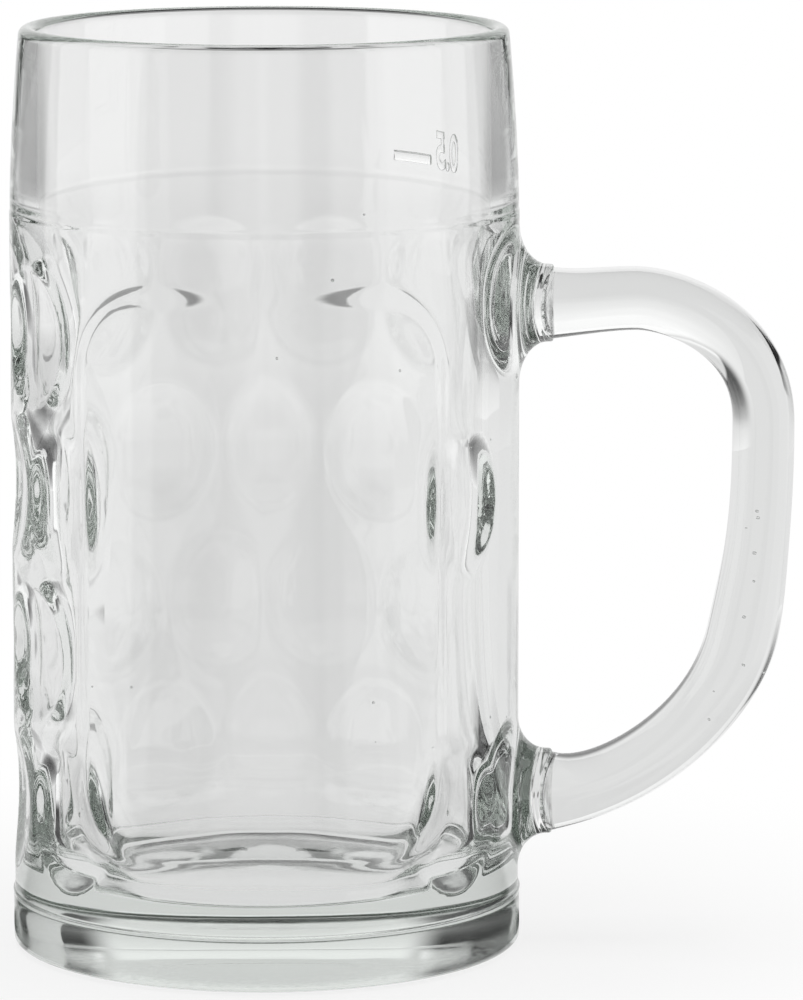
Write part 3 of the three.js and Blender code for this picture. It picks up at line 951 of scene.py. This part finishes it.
def bar_sizes(sheet):
    """The named inputs of the handle's bar."""
    return SimpleNamespace(
        grip_half=sheet.length("Grip half thickness", GRIP_HALF_THICKNESS),
        half_depth=sheet.length("Half depth", HANDLE_HALF_DEPTH),
        upper_swell=sheet.length("Upper swell", UPPER_END_HALF_THICKNESS - GRIP_HALF_THICKNESS),
        lower_swell=sheet.length("Lower swell", LOWER_END_HALF_THICKNESS - GRIP_HALF_THICKNESS),
        upper_blend=sheet.length("Upper blend", UPPER_END_BLEND),
        lower_blend=sheet.length("Lower blend", LOWER_END_BLEND),
        foot_swell=sheet.length("Grip foot swell", GRIP_FOOT_SWELL),
        foot_length=sheet.length("Grip foot swell length", GRIP_FOOT_SWELL_LENGTH),
        foot_height=sheet.length("Grip foot height", LOWER_BOSS_Z + GRIP_FOOT_RISE),
        squareness=sheet.size("Squareness", HANDLE_SQUARENESS),
        saddle=sheet.length("Seam saddle", SEAM_SADDLE),
        saddle_reach=sheet.length("Seam saddle reach", SEAM_SADDLE_REACH),
        sections=sheet.count("Sections", HANDLE_SECTIONS),
        points_round=sheet.count("Points round", HANDLE_POINTS_ROUND),
        cap_share=sheet.size("Cap share", HANDLE_CAP_SHARE),
        seeds=sheet.count("Seeds", HANDLE_SEEDS),
        material=sheet.size("Glass", glass, "NodeSocketMaterial"),
    )


def bar_grid(sheet, size):
    """A flat grid to be rolled up: its share along the path, its angle round and its closing at both caps."""
    math_ = sheet.math
    rows = math_("ADD", size.sections, 1.0)
    columns = math_("ADD", size.points_round, 1.0)
    laying = {"Size X": 1.0, "Size Y": 1.0, "Vertices X": rows, "Vertices Y": columns}
    grid = sheet.add("GeometryNodeMeshGrid", laying)
    u, v, _ = sheet.split(sheet.add("GeometryNodeInputPosition").outputs[0])
    share = math_("ADD", u, 0.5)
    whole = math_("ADD", 1.0, math_("MULTIPLY", size.cap_share, 2.0))
    stretched = math_("SUBTRACT", math_("MULTIPLY", share, whole), size.cap_share)
    from_start = math_("DIVIDE", math_("ADD", stretched, size.cap_share), size.cap_share)
    left = math_("SUBTRACT", math_("ADD", 1.0, size.cap_share), stretched)
    from_end = math_("DIVIDE", left, size.cap_share)
    closing = math_("MINIMUM", math_("MINIMUM", from_start, from_end), 1.0)
    return SimpleNamespace(
        mesh=grid.outputs[0],
        share=math_("MINIMUM", math_("MAXIMUM", stretched, 0.0), 1.0),
        angle=math_("MULTIPLY", v, -2 * math.pi),
        closing=math_("MAXIMUM", closing, 0.0),
    )


def fall_off(sheet, distance, length):
    """One at no distance, falling off over a length."""
    return sheet.math("EXPONENT", sheet.math("DIVIDE", distance, length))


def bar_half_thickness(sheet, size, centre, share, gone, left):
    """The bar swells towards each weld, and a little at the foot of the grip, which is past the elbow."""
    math_ = sheet.math
    up = math_("DIVIDE", math_("SUBTRACT", sheet.split(centre)[2], size.foot_height), size.foot_length)
    near_foot = math_("EXPONENT", math_("MULTIPLY", math_("MULTIPLY", up, up), -1.0))
    near_foot = math_("MULTIPLY", near_foot, math_("GREATER_THAN", share, GRIP_FOOT_SWELL_START))
    half = size.grip_half
    for swell, near in (
        (size.upper_swell, fall_off(sheet, gone, size.upper_blend)),
        (size.lower_swell, fall_off(sheet, left, size.lower_blend)),
        (size.foot_swell, near_foot),
    ):
        half = math_("ADD", half, math_("MULTIPLY", swell, near))
    return half


def rounded_wave(sheet, size, wave):
    """A sine or cosine of the section's angle, drawn out so that the round section becomes squarer."""
    power = sheet.math("DIVIDE", 2.0, size.squareness)
    height = sheet.math("POWER", sheet.math("ABSOLUTE", wave), power)
    return sheet.math("MULTIPLY", sheet.math("SIGN", wave), height)


def handle_seeds(sheet, size, curve):
    """Bubbles at random places along the grip."""
    seed = HANDLE_RANDOM_SEED
    along = sheet.random(HANDLE_SEED_START, HANDLE_SEED_END, seed)
    spot = sheet.add("GeometryNodeSampleCurve", {"Curves": curve, "Factor": along}, mode="FACTOR")
    drift_x = sheet.random(-HANDLE_SEED_DRIFT_X * MM, HANDLE_SEED_DRIFT_X * MM, seed + 1)
    drift_y = sheet.random(-HANDLE_SEED_DRIFT_Y * MM, HANDLE_SEED_DRIFT_Y * MM, seed + 2)
    place = sheet.vector("ADD", spot.outputs["Position"], sheet.join(drift_x, drift_y, 0.0))
    return sheet.seeds(size.seeds, place, seed + 3)


def handle_bar():
    """A tree that carries a rounded bar along the path, thicker towards both welds, with closed ends."""
    sheet = GeometrySheet("handle_bar")
    size = bar_sizes(sheet)
    math_ = sheet.math
    grid = bar_grid(sheet, size)
    curve = sheet.source.outputs[0]
    length = sheet.add("GeometryNodeCurveLength", {0: curve}).outputs[0]
    sample = sheet.add("GeometryNodeSampleCurve", {"Curves": curve, "Factor": grid.share}, mode="FACTOR")
    centre = sample.outputs["Position"]
    tangent_x, _, tangent_z = sheet.split(sample.outputs["Tangent"])
    outward = sheet.join(math_("MULTIPLY", tangent_z, -1.0), 0.0, tangent_x)
    along = math_("MULTIPLY", grid.share, length)
    gone = math_("MULTIPLY", along, -1.0)
    left = math_("SUBTRACT", along, length)
    half = bar_half_thickness(sheet, size, centre, grid.share, gone, left)
    out = math_("MULTIPLY", grid.closing, rounded_wave(sheet, size, math_("SINE", grid.angle)))
    side = math_("MULTIPLY", grid.closing, rounded_wave(sheet, size, math_("COSINE", grid.angle)))
    thick = sheet.scaled(outward, math_("MULTIPLY", out, half))
    deep = sheet.join(0.0, math_("MULTIPLY", side, size.half_depth), 0.0)
    to_start = fall_off(sheet, gone, size.saddle_reach)
    to_end = fall_off(sheet, left, size.saddle_reach)
    pull = math_("MULTIPLY", math_("MULTIPLY", side, side), math_("ADD", to_start, to_end))
    back = sheet.join(math_("MULTIPLY", math_("MULTIPLY", pull, size.saddle), -1.0), 0.0, 0.0)
    place = sheet.vector("ADD", sheet.vector("ADD", centre, thick), sheet.vector("ADD", deep, back))
    bar = sheet.add("GeometryNodeSetPosition", {"Geometry": grid.mesh, "Position": place})
    welding = {"Geometry": bar.outputs[0], "Distance": WELD_DISTANCE * MM}
    closed = sheet.add("GeometryNodeMergeByDistance", welding)
    smooth = sheet.add("GeometryNodeSetShadeSmooth", {"Geometry": closed.outputs[0]})
    sheet.finish(size.material, smooth.outputs[0], handle_seeds(sheet, size, curve))
    return sheet


def figures():
    """The fill figures as a flat solid one unit wide and one unit high, with its depth from 0 to 1."""
    text = bpy.data.curves.new("fill_figures", "FONT")
    text.body = FILL_FIGURES
    text.extrude = FIGURES_EXTRUDE
    text.bevel_depth = FIGURES_BEVEL
    text.bevel_resolution = 1
    text.resolution_u = FIGURES_CURVE_STEPS
    holder = linked("fill_figures", text)
    graph = bpy.context.evaluated_depsgraph_get()
    mesh = bpy.data.meshes.new_from_object(holder.evaluated_get(graph), depsgraph=graph)
    bpy.data.objects.remove(holder)
    points = np.array([vertex.co[:] for vertex in mesh.vertices])
    faces = [tuple(face.vertices) for face in mesh.polygons]
    low = points.min(axis=0)
    high = points.max(axis=0)
    return (points - low) / (high - low), faces


def fill_line():
    """The line as a rounded bar one unit wide, high and deep, in steps along its width."""
    steps = FILL_LINE_STEPS
    section = [
        (0.5 - 0.5 * math.cos(t), math.sin(t) ** FILL_LINE_FULLNESS)
        for t in np.linspace(0.0, math.pi, FILL_LINE_SECTION_POINTS)
    ]
    count = len(section)
    points = [(i / steps, y, z) for i in range(steps + 1) for y, z in section]
    faces = [tuple(range(count)), tuple(range(count * (steps + 1) - 1, count * steps - 1, -1))]
    for i in range(steps):
        for side in range(count):
            a = count * i + side
            b = count * i + (side + 1) % count
            faces.append((b, a, a + count, b + count))
    return np.array(points, float), faces


def bent(points, start, sweep, bottom, height):
    """Lays a unit solid on the round band, readable from outside."""
    turn = np.radians(start + sweep * points[:, 0])
    z = bottom + height * points[:, 1]
    reach = np.array([band_radius(value) for value in z])
    reach += -FILL_LINE_SINK + (FILL_LINE_RAISE + FILL_LINE_SINK) * points[:, 2]
    return np.stack([reach * np.cos(turn), reach * np.sin(turn), z], 1)


def fill_mark():
    """The raised line at half a litre, and its figures."""
    line_points, line_faces = fill_line()
    line_bottom = FILL_LINE_Z - FILL_LINE_HEIGHT / 2
    line = bent(line_points, FILL_LINE_START_ANGLE, FILL_LINE_SWEEP_ANGLE, line_bottom, FILL_LINE_HEIGHT)
    text_points, text_faces = figures()
    text = bent(text_points, FIGURES_START_ANGLE, FIGURES_SWEEP_ANGLE, FIGURES_BOTTOM_Z, FIGURES_HEIGHT)
    text_faces = [tuple(i + len(line) for i in face) for face in text_faces]
    mark = mesh_piece("fill_mark", np.concatenate([line, text]), line_faces + text_faces, glass)
    form = bmesh.new()
    form.from_mesh(mark.data)
    bmesh.ops.remove_doubles(form, verts=form.verts, dist=MARK_WELD_DISTANCE * MM)
    bmesh.ops.recalc_face_normals(form, faces=form.faces)
    form.to_mesh(mark.data)
    form.free()
    mark.data.set_sharp_from_angle(angle=math.radians(MARK_SHARP_ANGLE))
    return mark


body = dimple_press().apply(vessel(), "mug_body_glass")
handle = handle_bar().apply(handle_path(), "handle_glass")
mark = fill_mark()
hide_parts("mug_body")
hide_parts("handle")
for piece in (body, handle, mark):
    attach(piece, "root")


def floor_material():
    """Matte with the mug's shadow close by, white further off, and plain backdrop to glass and gloss."""
    material, sheet = blank_material("pale_floor")
    matte = sheet.add("ShaderNodeBsdfDiffuse", {"Color": (FLOOR_GREY, FLOOR_GREY, FLOOR_GREY, 1.0)})
    where = sheet.add("ShaderNodeTexCoord").outputs["Object"]
    away = sheet.add("ShaderNodeVectorMath", {0: where}, operation="LENGTH").outputs["Value"]
    fade = sheet.ramp(away, FLOOR_FADE_START * MM, FLOOR_FADE_END * MM, FLOOR_LEAST_WHITE, 1.0)
    rays = sheet.add("ShaderNodeLightPath").outputs
    glow = sheet.ramp(rays["Is Camera Ray"], 0.0, 1.0, GLASS_BACKDROP, 1.0, "LINEAR")
    white = sheet.add("ShaderNodeEmission", {"Strength": glow})
    through = sheet.math("MAXIMUM", rays["Is Glossy Ray"], rays["Is Transmission Ray"])
    direct = sheet.math("MULTIPLY", fade, rays["Is Camera Ray"])
    seen = sheet.math("MAXIMUM", direct, through)
    blend = sheet.add("ShaderNodeMixShader", {0: seen, 1: matte.outputs[0], 2: white.outputs[0]})
    sheet.add("ShaderNodeOutputMaterial", {"Surface": blend.outputs[0]})
    return material


def tent_material():
    """Emission of the strength that each point of the tent carries."""
    material, sheet = blank_material("tent_glow")
    level = sheet.add("ShaderNodeAttribute", attribute_name="glow")
    emission = sheet.add("ShaderNodeEmission", {"Strength": level.outputs["Fac"]})
    sheet.add("ShaderNodeOutputMaterial", {"Surface": emission.outputs[0]})
    return material


def rise(value, middle, soft):
    """Zero below the middle, one above it, with a soft step between."""
    share = min(max((value - middle + soft) / (2 * soft), 0.0), 1.0)
    return share * share * (3 - 2 * share)


def window(turn, start, end, soft):
    """One between two angles, zero outside, with soft edges."""
    return rise(turn, start, soft) * (1 - rise(turn, end, soft))


def pale_right(turn):
    """The pale field between the front and the right softbox."""
    return window(turn, PALE_RIGHT_START_ANGLE, SOFTBOX_START_ANGLE, PALE_RIGHT_SOFTNESS) * PALE_RIGHT_GLOW


def pale_front(turn):
    """The pale field in front, which the mug shows when it is seen from behind."""
    return window(turn, -PALE_FRONT_ANGLE, PALE_FRONT_ANGLE, PALE_FRONT_SOFTNESS) * PALE_FRONT_GLOW


def softbox(turn):
    """One in front of the soft box at either side, zero elsewhere."""
    return window(abs(turn), SOFTBOX_START_ANGLE, SOFTBOX_END_ANGLE, TENT_EDGE_SOFTNESS)


def wall_glow(turn, z):
    """Glow of the tent's wall; turn is positive to the right. The backdrop also shows in a strip in front."""
    side = abs(turn)
    flag = window(side, SOFTBOX_END_ANGLE, FLAG_END_ANGLE, FLAG_SOFTNESS)
    back = 1 - window(side, FRONT_STRIP_ANGLE, FLAG_END_ANGLE, FLAG_SOFTNESS)
    backdrop = GLASS_BACKDROP + (BACKDROP_TOP_GLOW - GLASS_BACKDROP) * min(z / BACKDROP_FULL_HEIGHT, 1.0)
    low_flag = FLAG_GLOW * math.exp(-z / FLAG_FADE_HEIGHT)
    patch = window(side, PATCH_START_ANGLE, FLAG_END_ANGLE, TENT_EDGE_SOFTNESS) * PATCH_GLOW
    level = TENT_DIM_GLOW + back * backdrop + flag * low_flag
    level += softbox(turn) * (1 - rise(z, SOFTBOX_TOP, SOFTBOX_TOP_SOFTNESS))
    level += patch * rise(z, PATCH_Z, PATCH_SOFTNESS)
    level += pale_right(turn)
    level += pale_front(turn) * (1 - rise(z, PALE_FRONT_TOP, PALE_FRONT_TOP_SOFTNESS))
    return level


def dark_strip(across, reach):
    """How dark the strip behind the mug is; it widens and pales further off."""
    further = max(reach - DARK_STRIP_SPREAD_START, 0.0)
    half_width = DARK_STRIP_HALF_WIDTH + DARK_STRIP_SPREAD * further
    soft = DARK_STRIP_EDGE_SOFTNESS + FAR_STRIP_SOFTNESS * further
    half_step = FAR_STRIP_START_LENGTH / 2
    strip = 1 - rise(across, half_width, soft)
    strip *= rise(reach, DARK_STRIP_START, DARK_STRIP_START_SOFTNESS)
    strip *= 1 - FAR_STRIP_GLOW * rise(reach, DARK_STRIP_SPREAD_START + half_step, half_step)
    strip *= 1 - rise(reach, DARK_STRIP_REACH, DARK_STRIP_REACH_SOFTNESS)
    return strip


def table_glow(turn, reach):
    """Glow of the table: pale behind but for the strip, and further off at the sides and in front."""
    across = reach * abs(math.sin(math.radians(turn)))
    behind = rise(abs(turn), TABLE_BACK_ANGLE, TABLE_BACK_SOFTNESS)
    level = TENT_DIM_GLOW + behind * (1 - dark_strip(across, reach)) * GLASS_BACKDROP
    level += softbox(turn) * rise(reach, TABLE_DARK_RADIUS, TABLE_DARK_SOFTNESS)
    level += pale_right(turn) * rise(reach, PALE_RIGHT_REACH, PALE_RIGHT_REACH_SOFTNESS)
    level += pale_front(turn) * rise(reach, PALE_FRONT_REACH, PALE_FRONT_REACH_SOFTNESS)
    return level


glow_material = tent_material()


def glowing(name, points, faces, levels):
    """A sheet that only glass and gloss see."""
    piece = mesh_piece(name, points, faces, glow_material)
    piece.data.attributes.new("glow", "FLOAT", "POINT").data.foreach_set("value", levels)
    piece.visible_camera = False
    piece.visible_diffuse = False
    piece.visible_shadow = False
    return piece


def glow_sheet(name, rings, level):
    """A round sheet through rings of reach and height; level gives its glow at a turn, reach and height."""
    points = []
    levels = []
    turns = np.linspace(-180.0, 180.0, TENT_TURNS)
    for turn in turns:
        angle = math.radians(turn)
        for reach, z in rings:
            points.append((reach * math.sin(angle), -reach * math.cos(angle), z))
            levels.append(level(turn, reach, z))
    count = len(rings)
    faces = []
    for column in range(len(turns) - 1):
        for row in range(count - 1):
            corner = column * count + row
            faces.append((corner, corner + 1, corner + count + 1, corner + count))
    return glowing(name, points, faces, levels)


def glow_card(name, y, left, right, bottom, top):
    """A flat upright card as pale as the backdrop, square to the view from the front."""
    corners = [(left, y, bottom), (right, y, bottom), (right, y, top), (left, y, top)]
    return glowing(name, corners, [(0, 1, 2, 3)], [GLASS_BACKDROP] * len(corners))


def tent_wall():
    rings = [(TENT_RADIUS, z) for z in np.linspace(0.0, TENT_TOP, TENT_WALL_ROWS)]
    return glow_sheet("tent_wall", rings, lambda turn, reach, z: wall_glow(turn, z))


def tent_table():
    reaches = np.linspace(TENT_TABLE_INNER_RADIUS, TENT_RADIUS, TENT_TABLE_RINGS)
    rings = [(reach, TENT_TABLE_Z) for reach in reaches]
    return glow_sheet("tent_table", rings, lambda turn, reach, z: table_glow(turn, reach))


def low_card():
    half = LOW_CARD_HALF_WIDTH
    return glow_card("low_card", LOW_CARD_Y, -half, half, LOW_CARD_BOTTOM, LOW_CARD_TOP)


def handle_card():
    sides = (HANDLE_CARD_LEFT, HANDLE_CARD_RIGHT)
    return glow_card("handle_card", HANDLE_CARD_Y, *sides, HANDLE_CARD_BOTTOM, HANDLE_CARD_TOP)


def floor():
    half = FLOOR_HALF_SIZE
    corners = [(-half, -half, FLOOR_Z), (half, -half, FLOOR_Z), (half, half, FLOOR_Z), (-half, half, FLOOR_Z)]
    return mesh_piece("floor", corners, [(0, 1, 2, 3)], floor_material())


def overhead_lamp():
    """A soft lamp above the mug, which glass and gloss don't see."""
    light = bpy.data.lights.new("overhead", "AREA")
    light.shape = "SQUARE"
    light.size = LAMP_SIZE
    light.energy = LAMP_WATTS
    lamp = linked("overhead", light)
    lamp.location = LAMP_PLACE
    lamp.rotation_mode = "QUATERNION"
    aim = -lamp.location
    aim.z += LAMP_AIM_HEIGHT
    lamp.rotation_quaternion = aim.to_track_quat("-Z", "Y")
    lamp.visible_glossy = False
    lamp.visible_transmission = False


def studio_world():
    """White to the camera, and a dim room to everything else."""
    world = bpy.data.worlds.new("studio")
    world.use_nodes = True
    world.node_tree.nodes.clear()
    sheet = NodeSheet(world.node_tree)
    room = sheet.add("ShaderNodeBackground", {"Color": WHITE, "Strength": ROOM_GLOW})
    backdrop = sheet.add("ShaderNodeBackground", {"Color": WHITE, "Strength": 1.0})
    to_camera = sheet.add("ShaderNodeLightPath").outputs["Is Camera Ray"]
    pick = sheet.add("ShaderNodeMixShader", {0: to_camera, 1: room.outputs[0], 2: backdrop.outputs[0]})
    sheet.add("ShaderNodeOutputWorld", {"Surface": pick.outputs[0]})
    return world


def photo_camera():
    """The camera at the photograph's place."""
    lens = bpy.data.cameras.new("photo_camera")
    lens.sensor_width = CAMERA_SENSOR
    lens.lens = CAMERA_LENS
    lens.clip_end = CAMERA_CLIP_END
    camera = linked("photo_camera", lens)
    camera.location = CAMERA_PLACE
    camera.rotation_euler = (math.radians(CAMERA_TILT), 0.0, 0.0)
    return camera


floor()
tent_wall()
tent_table()
low_card()
handle_card()
overhead_lamp()

scene = bpy.context.scene
scene.world = studio_world()
scene.camera = photo_camera()
scene.view_settings.view_transform = "Standard"
scene.cycles.max_bounces = MOST_BOUNCES
scene.cycles.transmission_bounces = MOST_BOUNCES
scene.cycles.glossy_bounces = GLOSSY_BOUNCES
scene.cycles.transparent_max_bounces = TRANSPARENT_BOUNCES
